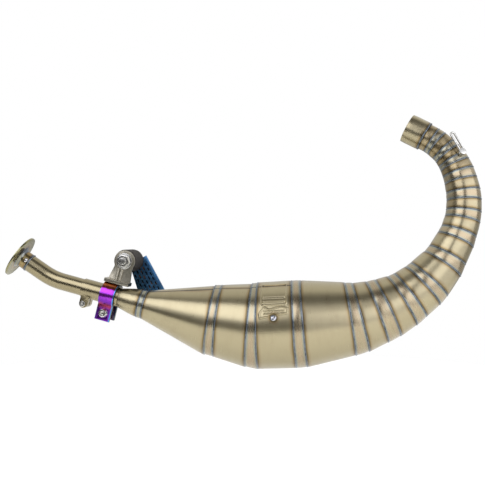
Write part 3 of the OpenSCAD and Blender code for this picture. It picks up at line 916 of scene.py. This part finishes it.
@dataclass
class RolledSection:
    """One rolled cone or ring of the chamber."""

    node: str
    number: int
    tube: Tube
    start: EndKind
    end: EndKind
    panel: PressedPanel | None = None
    seam_on_front: bool = False
    around: int = 144
    front_seam: float = math.radians(247)
    back_seam: float = 0.16

    @property
    def radius_mm(self) -> float:
        """Mean outer radius of the two ends."""
        return (self.tube.start.radii_mm[0] + self.tube.end.radii_mm[0]) / 2

    @property
    def seam(self) -> float:
        """Angle of the longitudinal seam: high on the front or, by turns, beside the back."""
        if self.seam_on_front:
            return self.front_seam
        return self.back_seam if self.number % 2 else -self.back_seam

    def angles(self) -> np.ndarray:
        """Places points round the section, closer together at the seam and on the panel."""
        beside = np.array(BESIDE_SEAM_MM) / self.radius_mm
        close = self.seam + np.concatenate([-beside[::-1], [0.0], beside])
        gap = TURN - 2 * beside[-1]
        even = close[-1] + gap * np.arange(1, self.around) / self.around
        turns = np.sort(np.concatenate([close, even]) % TURN)
        if self.panel:
            low, high = (math.pi + v / self.radius_mm for v in self.panel.span())
            fine = np.arange(low, high, self.panel.step_round_mm / self.radius_mm)
            turns = np.sort(np.concatenate([turns[(turns < low) | (turns > high)], fine]))
        return turns

    def stations(self) -> np.ndarray:
        """Places rows of points along the section, closer together beside the welds."""
        length = self.tube.length / MM
        if self.panel:
            return np.linspace(0, 1, round(length / self.panel.step_along_mm))
        near = np.array(BESIDE_WELD_MM)
        near = near[near < length * 0.42] / length
        gap = 1 - 2 * near[-1]
        filling = max(1, round(gap * length / OPEN_STEP_MM))
        inner = near[-1] + gap * np.arange(1, filling) / filling
        return np.concatenate([near, inner, 1 - near[::-1]])

    def on_panel(
        self, share: float, span: np.ndarray, angles: np.ndarray
    ) -> tuple[np.ndarray, np.ndarray]:
        """Gives the panel's u and v, in mm, of a row of points on the sheet."""
        return (share - 0.5) * span, (angles % TURN - math.pi) * self.radius_mm

    def weld_mm(self, share: float, span: np.ndarray, angles: np.ndarray) -> np.ndarray:
        """Gives the distance to the nearest weld.

        Args:
            share: how far along the section, from 0 to 1.
            span: length of the section at each angle, in mm.
            angles: angles round the section.

        Returns:
            Distances in mm.
        """
        turned = (angles - self.seam + math.pi) % TURN - math.pi
        near = 1.3 + np.abs(turned) * self.radius_mm
        if self.start is EndKind.WELDED:
            near = np.minimum(near, share * span)
        if self.end is EndKind.WELDED:
            near = np.minimum(near, (1 - share) * span)
        if self.panel:
            near = np.minimum(near, self.panel.plug_gap(*self.on_panel(share, span, angles)))
        return near

    def rise_mm(self, share: float, span: np.ndarray, angles: np.ndarray) -> np.ndarray:
        """Gives the outer surface's offset from the CAD cone, in mm.

        Args:
            share: how far along the section, from 0 to 1.
            span: length of the section at each angle, in mm.
            angles: angles round the section.

        Returns:
            Offsets, outward positive.
        """
        fades = 1 - np.exp(-((np.minimum(share, 1 - share) * span / 3.2) ** 2))
        out_of_round = 0.12 * np.sin(2 * angles + 1.7 * self.number) * math.sin(math.pi * share)
        flats = 0.05 * np.sin(11 * angles + self.number) + 0.03 * np.sin(17 * angles)
        rise = -WELD_SHRINK_MM * (1 - fades) + out_of_round + flats * fades
        if self.panel:
            rise = rise + self.panel.height_mm(*self.on_panel(share, span, angles))
        return rise

    def piece(self) -> Piece:
        """Builds the closed shell of the section with its attributes."""
        angles = self.angles()
        first, last = (self.tube.loops(r, angles) for r in (self.tube.start, self.tube.end))
        span = np.linalg.norm(last[0] - first[0], axis=1) / MM
        away, across = self.tube.sides()
        radial = spokes(angles, away, across)
        rows, welds = [], []
        for share in self.stations():
            weld = self.weld_mm(share, span, angles)
            rise = self.rise_mm(share, span, angles)
            rows.append(first[0] * (1 - share) + last[0] * share + rise[:, None] * radial * MM)
            welds.append(weld)
        for share in np.linspace(1, 0, 6):
            rows.append(first[1] * (1 - share) + last[1] * share)
            welds.append(self.weld_mm(share, span, angles))
        points = np.concatenate(rows)
        offset = (points - self.tube.start.centre) / MM
        along = offset @ self.tube.axis + SHEET_SHIFT_MM * self.number
        sheet = np.stack([along, offset @ away, offset @ across], 1)
        layers = {"weld_mm": np.concatenate(welds), "sheet_mm": sheet}
        return Piece(self.node + "_shell", points, grid_faces(len(rows), len(angles)), layers)

    def seam_bead(self, width: float, height: float) -> tuple[np.ndarray, np.ndarray]:
        """Lays the longitudinal seam's bead, flat at both ends.

        Args:
            width: bead width in mm.
            height: crown height in mm.

        Returns:
            Points and quads of the closed bead.
        """
        angle = np.array([self.seam])
        a, b = (self.tube.loops(r, angle)[0][0] for r in (self.tube.start, self.tube.end))
        away, across = self.tube.sides()
        outward = math.cos(self.seam) * away + math.sin(self.seam) * across
        steps = max(6, int(self.tube.length / MM / BEAD_STEP_MM))
        way = a + np.linspace(0, 1, steps)[:, None] * (b - a)
        way = way - WELD_SHRINK_MM * MM * outward
        # the path runs out along the seam and back under the sheet, so that the bead is closed
        way = np.concatenate([way, way[::-1] - 0.6 * MM * outward])
        side = np.broadcast_to(np.cross(self.tube.axis, outward), way.shape)
        thin = np.concatenate([np.full(steps, height), np.zeros(steps)])
        rows = []
        for x in np.linspace(-1, 1, 5):
            ripple = 1 + RIPPLE * np.sin(np.arange(len(way)) * 2.4)
            rise = thin * (1 - x * x) * ripple + 0.1
            rows.append(way + (x * width / 2 * side + rise[:, None] * outward) * MM)
        return np.concatenate(rows), grid_faces(len(rows), len(way))


@dataclass
class Chamber:
    """The welded run of rolled sections from the header socket to the stinger."""

    header: tuple[str, ...] = (
        "header_socket", "header_cone_1", "header_ring_1", "header_cone_2", "header_ring_2",
        "header_cone_3", "header_ring_3", "header_cone_4",
    )
    diffuser: tuple[str, ...] = tuple(
        f"diffuser_{kind}_{i}" for i in range(1, 10) for kind in ("ring", "cone")
    )
    belly: tuple[str, ...] = ("belly_ring_1", "belly_drum", "belly_ring_2")
    baffle: tuple[str, ...] = (
        "baffle_cone_1", "baffle_ring_1", "baffle_cone_2", "baffle_ring_2", "baffle_cone_3",
        "baffle_cone_4",
    )
    bead_width_mm: float = 1.9
    bead_height_mm: float = 0.5
    seam_width_mm: float = 1.33
    seam_height_mm: float = 0.35
    panel: PressedPanel = PressedPanel()
    tubes: list[Tube] = field(default_factory=list)

    def read(self) -> None:
        """Reads the tubes of all sections from the CAD meshes, in order."""
        upstream = np.zeros(3)
        for node in self.nodes():
            tube = tube_of(node, upstream)
            self.tubes.append(tube)
            upstream = tube.end.centre

    def nodes(self) -> tuple[str, ...]:
        """Lists the sections in order from the header socket."""
        return self.header + self.diffuser + self.belly + self.baffle

    def build(self) -> None:
        """Builds the shells and the beads over their joints."""
        self.read()
        seams = []
        for number, (node, tube) in enumerate(zip(self.nodes(), self.tubes)):
            start = self.kind_before(number)
            end = self.kind_before(number + 1)
            panel = self.panel if node == "belly_drum" else None
            on_front = node in self.belly[1:] + self.baffle[:3]
            section = RolledSection(node, number, tube, start, end, panel, on_front)
            finish = RING if "_ring_" in node else SHEET
            section.piece().place(finish, CHAMBER, "titanium", (node,))
            if number > 0:
                seams.append(section.seam_bead(self.seam_width_mm, self.seam_height_mm))
        merged("longitudinal_seam_beads", seams).place(BEAD, CHAMBER, "titanium")
        self.plug()
        LOG.info("chamber shells: %d", len(self.tubes))
        for group, names in (("header", self.header), ("diffuser", self.diffuser),
                             ("belly", self.belly), ("baffle", self.baffle)):
            self.beads(group, names)

    def plug(self) -> None:
        """Builds the welded plug of the purge hole in the belly's front."""
        tube = self.tubes[self.nodes().index("belly_drum")]
        section = RolledSection("belly_drum", 0, tube, EndKind.WELDED, EndKind.WELDED)
        u, v = self.panel.plug_at
        away, across = tube.sides()
        angle = math.pi + v / section.radius_mm
        outward = math.cos(angle) * away + math.sin(angle) * across
        start = tube.at(0.5 + u * MM / tube.length) + section.radius_mm * MM * outward
        r = self.panel.plug_mm
        profile = [(-1.2, 0.2), (-1.2, r), (0.0, r), (0.7, 0.9 * r), (1.1, 0.72 * r),
                   (0.9, 0.5 * r), (0.35, 0.34 * r), (0.2, 0.2 * r), (0.5, 0.1)]
        piece = lathe("purge_plug_weld", start, outward, profile, 48)
        piece.place(NUGGET, CHAMBER, "titanium")

    def kind_before(self, number: int) -> EndKind:
        """Gives what the joint before a section is: the last two were filed flush."""
        if number == 0:
            return EndKind.OPEN
        return EndKind.DRESSED if number > len(self.tubes) - 2 else EndKind.WELDED

    def beads(self, group: str, names: tuple[str, ...]) -> None:
        """Lays the beads at the far end of each section of a group.

        Args:
            group: name of the group.
            names: its sections.
        """
        parts = []
        for node in names:
            number = self.nodes().index(node)
            if self.kind_before(number + 1) is not EndKind.WELDED:
                continue
            tube = self.tubes[number]
            steps = int(TURN * tube.end.radii_mm[0] / BEAD_STEP_MM)
            angles = np.linspace(0, TURN, steps, endpoint=False)
            path = tube.loops(tube.end, angles)[0]
            normal = np.broadcast_to(tube.end.normal, path.shape)
            outward = unit(path - tube.end.centre)
            path = path - WELD_SHRINK_MM * MM * outward
            parts.append(bead_ring(path, normal, outward, self.bead_width_mm, self.bead_height_mm))
        merged(group + "_weld_beads", parts).place(BEAD, CHAMBER, "titanium")
        LOG.info("%s_weld_beads: %d beads", group, len(parts))


# ---- Stinger sleeve, tail pipe and flange ----


def joint_line(name: str) -> tuple[np.ndarray, np.ndarray]:
    """Gives a point on a joint's axis and the axis' unit vector."""
    joint = next(j for j in frame["joints"] if j["name"] == name)
    return np.array(joint["pos_m"]), unit(np.array(joint["axis"], float))


@dataclass
class Sleeve:
    """The stinger sleeve with its slit, pinch lugs and pinch bolt."""

    bevel_mm: float = 0.35

    def build(self) -> None:
        """Builds the sleeve, the bolt and the nut."""
        mesh = softened("stinger_sleeve", self.bevel_mm)
        at, axis = joint_line("tail_turn")
        co = points_of(mesh)
        add_layer(mesh, "weld_mm", np.full(len(co), FAR_MM))
        add_layer(mesh, "sheet_mm", (co - at) / MM @ self.axes(axis).T)
        finished(mesh, "stinger_sleeve_tube", DRESSED, CHAMBER, ("stinger_sleeve",),
                 30.0)
        for node in ("pinch_bolt", "pinch_nut"):
            dress(node, "turned", 0.3, FASTENER, CHAMBER)
        LOG.info("stinger sleeve and pinch bolt")

    def axes(self, axis: np.ndarray) -> np.ndarray:
        """Gives three unit vectors, the first along the sleeve."""
        up = np.array([0.0, 0.0, 1.0])
        side = unit(np.cross(up, axis))
        return np.stack([axis, side, np.cross(axis, side)])


@dataclass
class TailPipe:
    """The bent tail pipe with its flange."""

    around: int = 96
    edge_mm: float = 0.5
    fillet_mm: float = 6.0
    weld_width_mm: float = 2.6
    weld_height_mm: float = 0.7

    def build(self) -> None:
        """Builds the tube, the flange and the weld between them."""
        slip = tube_of("tail_slip", np.zeros(3))
        bend = tube_of("tail_bend", slip.start.centre)
        end = tube_of("tail_end", bend.start.centre)
        neck = tube_of("flange_neck", bend.start.centre)
        disc = tube_of("flange_disc", bend.start.centre)
        self.pipe(slip, bend, end)
        self.flange(neck, disc)
        LOG.info("tail pipe and flange")

    def pipe(self, slip: Tube, bend: Tube, end: Tube) -> None:
        """Builds the tube through its bend.

        Args:
            slip: straight tube in the sleeve.
            bend: bent tube.
            end: straight tube behind the flange.
        """
        outer, inner = slip.start.radii_mm
        shares = np.linspace(0, 1, 8)
        way = [slip.at(share) for share in shares]
        first, last = slip.axis, end.axis
        chord = bend.end.centre - bend.start.centre
        turn = math.acos(float(first @ last))
        radius = float(np.linalg.norm(chord)) / (2 * math.sin(turn / 2))
        inward = unit(last - (last @ first) * first)
        hub = bend.start.centre + radius * inward
        way += [
            hub + radius * (math.sin(a) * first - math.cos(a) * inward)
            for a in np.linspace(0, turn, 25)[1:-1]
        ]
        way += [end.at(share) for share in shares]
        way = np.array(way)
        along = unit(np.gradient(way, axis=0))
        side = np.broadcast_to(unit(np.cross(first, last)), way.shape)
        over = np.cross(side, along)
        angles = np.linspace(0, TURN, self.around, endpoint=False)
        run = np.concatenate([[0], np.cumsum(np.linalg.norm(np.diff(way, axis=0), axis=1))]) / MM
        rows, weld, sheet = [], [], []
        for r, order in ((outer, range(len(way))), (inner, reversed(range(len(way))))):
            for k in order:
                rows.append(way[k] + r * MM * spokes(angles, side[k], over[k]))
                weld.append(np.full(self.around, run[-1] - run[k]))
                sheet.append(np.stack(
                    [np.full(self.around, run[k]), r * np.cos(angles), r * np.sin(angles)], 1))
        piece = Piece("tail_pipe_tube", np.concatenate(rows), grid_faces(len(rows), self.around),
                      {"weld_mm": np.concatenate(weld), "sheet_mm": np.concatenate(sheet)})
        piece.place(DRESSED, TAIL, "titanium", ("tail_slip", "tail_bend", "tail_end"))

    def flange(self, neck: Tube, disc: Tube) -> None:
        """Builds the flange with its flared neck.

        Args:
            neck: the neck's tube.
            disc: the disc's ring.
        """
        outer, bore = neck.start.radii_mm
        rim = disc.start.radii_mm[0]
        length = neck.length / MM
        back = length - disc.length / MM
        e, f = self.edge_mm, self.fillet_mm
        profile = [(0.0, bore), (0.0, outer - 0.1), (1.0, outer), (back - f - 2, outer)]
        profile += [
            (back - f + f * math.sin(a), outer + f * 0.75 * (1 - math.cos(a)))
            for a in np.linspace(0, math.pi / 2, 9)
        ]
        profile += [(back, rim - e - 6), (back, rim - e), (back + e * 0.3, rim - e * 0.3),
                    (back + e, rim)]
        profile += [(length - e, rim), (length - e * 0.3, rim - e * 0.3), (length, rim - e)]
        profile += [(length, (rim + bore) / 2), (length, bore + 0.8), (length - 0.8, bore)]
        piece = lathe("tail_flange", neck.start.centre, neck.axis, profile, 128)
        offset = (piece.points - neck.start.centre) / MM
        along = offset @ neck.axis
        radius = np.linalg.norm(offset - along[:, None] * neck.axis, axis=1)
        heat = np.hypot(np.maximum(0, back - 3.0 - along), np.maximum(0, radius - outer - 2.0))
        piece.layers = {"weld_mm": np.minimum(heat, np.abs(along) + 0.6),
                        "sheet_mm": np.stack([along, offset[:, 1], offset[:, 2]], 1)}
        piece.place(FLANGE, TAIL, "titanium", ("flange_neck", "flange_disc"))
        angles = np.linspace(0, TURN, int(TURN * outer / BEAD_STEP_MM), endpoint=False)
        path = neck.loops(neck.start, angles)[0]
        outward = unit(path - neck.start.centre)
        across = np.broadcast_to(neck.axis, path.shape)
        bead = bead_ring(path, across, outward, self.weld_width_mm, self.weld_height_mm)
        Piece("tail_weld_bead", *bead).place(BEAD, TAIL, "titanium")
        self.filler(neck, outer)

    def filler(self, neck: Tube, outer: float) -> None:
        """Builds the bright lump of filler where the torch stopped, on the near side.

        Args:
            neck: the neck's tube.
            outer: its outer radius in mm.
        """
        up = np.array([0.0, -math.cos(0.25), math.sin(0.25)])
        up = unit(up - (up @ neck.axis) * neck.axis)
        start = neck.start.centre + (0.25 * neck.length * neck.axis) + (outer - 0.6) * MM * up
        profile = [(-0.8, 0.2), (-0.8, 3.4), (0.4, 3.3), (1.3, 2.6), (1.8, 1.6), (2.0, 0.1)]
        lump = lathe("tail_weld_filler", start, up, profile, 40)
        lump.place(NUGGET, TAIL, "titanium")


# ---- Clamp, bracket, rubber mount and hanger -


@dataclass
class Mount:
    """The clamp band, its bracket, the rubber bush and the hanger strip."""

    rib_count: int = 9

    def frame_axes(self) -> tuple[np.ndarray, np.ndarray]:
        """Gives the clamp's centre on the sleeve and its three unit vectors, as rows."""
        at, along = joint_line("tail_turn")
        away = joint_line("hanger_swing")[1]
        low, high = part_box("clamp_band")
        middle = (np.array(low) + np.array(high)) / 2
        centre = at + ((middle - at) @ along) * along
        x = -along
        return centre, np.stack([x, away, np.cross(x, away)])

    def build(self) -> None:
        """Builds all pieces of the mount."""
        centre, axes = self.frame_axes()
        mesh = softened("clamp_band", 0.4)
        local = (points_of(mesh) - centre) @ axes.T / MM
        add_layer(mesh, "clamp_mm", local)
        bolt_low, bolt_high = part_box("clamp_spacer")
        band = FlamedBand("titanium_band_anodised", half_width_mm=float(np.abs(local[:, 0]).max()),
                          gap_half_mm=float(bolt_high[1] - bolt_low[1]) / 2 / MM)
        finished(mesh, "clamp_band_flamed", band, CHAMBER, ("clamp_band",))
        for node in ("clamp_bolt", "clamp_nut", "clamp_spacer"):
            dress(node, "turned", 0.35, FASTENER, CHAMBER)
        dress("bracket_plate", "pressed", 0.5, BRACKET, CHAMBER)
        for node in ("mount_stud", "mount_nut_front", "mount_nut_rear"):
            dress(node, "turned", 0.35, FASTENER, HANGER)
        mesh = softened("hanger_strip", 0.3)
        at, axis = joint_line("hanger_swing")
        depth = (points_of(mesh) - at) @ axis / MM
        depth -= depth.min()
        # the back face gets no painted slot shade, like the front one
        add_layer(mesh, "depth_mm", np.where(depth > 0.8 * depth.max(), 0.0, depth))
        finished(mesh, "hanger_strip_slotted", STRIP, HANGER, ("hanger_strip",))
        self.bush()
        LOG.info("clamp, bracket and rubber mount")

    def bush(self) -> None:
        """Builds the ribbed rubber bush."""
        at, axis = joint_line("hanger_swing")
        co = points_of(frame["nodes"]["rubber_bush"].data)
        offset = (co - at) / MM
        along = offset @ axis
        radius = np.linalg.norm(offset - along[:, None] * axis, axis=1)
        low, high, outer, bore = along.min(), along.max(), radius.max(), radius.min()
        pitch = (high - low) / self.rib_count
        profile = [(low, bore), (low, outer - 2.5), (low + 0.5, outer - 0.8)]
        for k in range(self.rib_count):
            s = low + k * pitch
            profile += [(s + 0.22 * pitch, outer - 0.1), (s + 0.5 * pitch, outer),
                        (s + 0.78 * pitch, outer - 0.1), (s + pitch, outer - 1.1)]
        profile[-1] = (high - 0.5, outer - 0.8)
        profile += [(high, outer - 2.5), (high, bore)]
        piece = lathe("rubber_bush_ribbed", at, axis, profile, 96)
        piece.place(RUBBER, HANGER, "rubber", ("rubber_bush",))


@dataclass
class SpringHook:
    """The spring hook on the header: a welded boss with a wire loop."""

    def build(self) -> None:
        """Builds the boss and the wire."""
        for node in ("hook_boss", "hook_wire"):
            dress(node, "welded", 0.3, FASTENER, CHAMBER)
        LOG.info("spring hook")


# ---- Studio ----------------------------------


@dataclass
class Softbox:
    """A soft studio light that looks at a point."""

    name: str
    bearing_deg: float
    elevation_deg: float
    width: float
    height: float
    radiance: float
    distance: float = 1.6
    in_gloss: bool = True
    tone: str = "#f2f4ff"

    def build(self, target: Vector) -> None:
        """Hangs the light.

        Args:
            target: point that it looks at, in metres.
        """
        light = bpy.data.lights.new(self.name, "AREA")
        light.shape = "RECTANGLE"
        light.size = self.width
        light.size_y = self.height
        light.energy = self.radiance * math.pi * self.width * self.height
        light.color = linear(self.tone)[:3]
        obj = bpy.data.objects.new(self.name, light)
        bearing, elevation = math.radians(self.bearing_deg), math.radians(self.elevation_deg)
        towards = Vector((math.sin(bearing) * math.cos(elevation),
                          -math.cos(bearing) * math.cos(elevation), math.sin(elevation)))
        obj.location = target + self.distance * towards
        obj.rotation_euler = towards.to_track_quat("Z", "Y").to_euler()
        obj.visible_glossy = self.in_gloss
        obj.visible_camera = False
        bpy.context.scene.collection.objects.link(obj)


@dataclass
class Studio:
    """Camera, floor and soft lights."""

    camera_back: float = 0.9687
    camera_x: float = -0.2371
    camera_z: float = -0.1645
    lens_mm: float = 50.0
    floor_drop: float = 0.14
    floor_radius: float = 1.0
    wall_light: float = 1.15
    room_light: float = 0.16

    def build(self) -> None:
        """Builds the studio round the object."""
        low, high = CAD_BOX
        target = (low + high) / 2
        for box in (
            Softbox("key_left", -35, 34, 1.42, 1.25, 3.3),
            Softbox("key_right", 47, 17, 2.3, 0.98, 2.8),
            Softbox("key_right_upper", 47, 43, 2.3, 0.5, 1.0),
            Softbox("fill_right", 47, -12, 2.3, 0.62, 1.5),
            Softbox("floor_wash", 0, 68, 3.0, 3.0, 1.5, 1.9, in_gloss=False, tone="#ffffff"),
        ):
            box.build(target)
        self.floor(Vector((target.x, target.y, low.z - self.floor_drop)))
        self.world()
        self.camera()
        bpy.context.scene.view_settings.view_transform = "Standard"

    def floor(self, centre: Vector) -> None:
        """Lays the round paper floor.

        Args:
            centre: its centre, in metres.
        """
        made = bmesh.new()
        bmesh.ops.create_circle(made, cap_ends=True, segments=96, radius=self.floor_radius)
        mesh = bpy.data.meshes.new("studio_floor")
        made.to_mesh(mesh)
        made.free()
        mesh.materials.append(StudioPaper("paper_white_matt").material())
        obj = bpy.data.objects.new("studio_floor", mesh)
        obj.location = centre
        bpy.context.scene.collection.objects.link(obj)

    def world(self) -> None:
        """Lights the room: a pale wall behind, a dark room in front, and white to look at."""
        world = bpy.data.worlds.new("studio_room")
        bpy.context.scene.world = world
        world.use_nodes = True
        tree = world.node_tree
        tree.nodes.clear()
        place = add(tree, "TexCoord")
        axes = add(tree, "SeparateXYZ", links={0: place.outputs["Generated"]})
        depth = add(tree, "MapRange",
                    {"From Min": -0.12, "From Max": 0.12, "To Min": self.room_light,
                     "To Max": self.wall_light}, {"Value": axes.outputs["Y"]})
        # the wall behind is dim near the horizon and bright towards the ceiling
        rising = add(
            tree, "MapRange", {"From Min": 0.0, "From Max": 0.55, "To Min": 0.5, "To Max": 1.0},
            {"Value": axes.outputs["Z"]},
        )
        level = add(tree, "Math", {"operation": "MULTIPLY"}, {0: depth, 1: rising})
        path = add(tree, "LightPath")
        shown = add(tree, "Mix", {3: 1.0}, {0: path.outputs["Is Camera Ray"], 2: level})
        glow = add(tree, "Background", {"Color": linear("#ffffff")}, {"Strength": shown})
        add(tree, "OutputWorld", links={"Surface": glow})

    def camera(self) -> None:
        """Sets up the camera, level and square on."""
        lens = bpy.data.cameras.new("studio_camera")
        lens.lens = self.lens_mm
        lens.sensor_width = 36.0
        obj = bpy.data.objects.new("studio_camera", lens)
        obj.location = (self.camera_x, -self.camera_back, self.camera_z)
        obj.rotation_euler = (math.pi / 2, 0, 0)
        bpy.context.scene.collection.objects.link(obj)
        bpy.context.scene.camera = obj


def main() -> None:
    """Builds every sub-assembly in order."""
    logging.basicConfig(level=logging.INFO, format="%(name)s: %(message)s")
    for part in (Chamber(), Sleeve(), TailPipe(), Mount(), SpringHook(), Studio()):
        part.build()


if __name__ == "__main__":
    main()
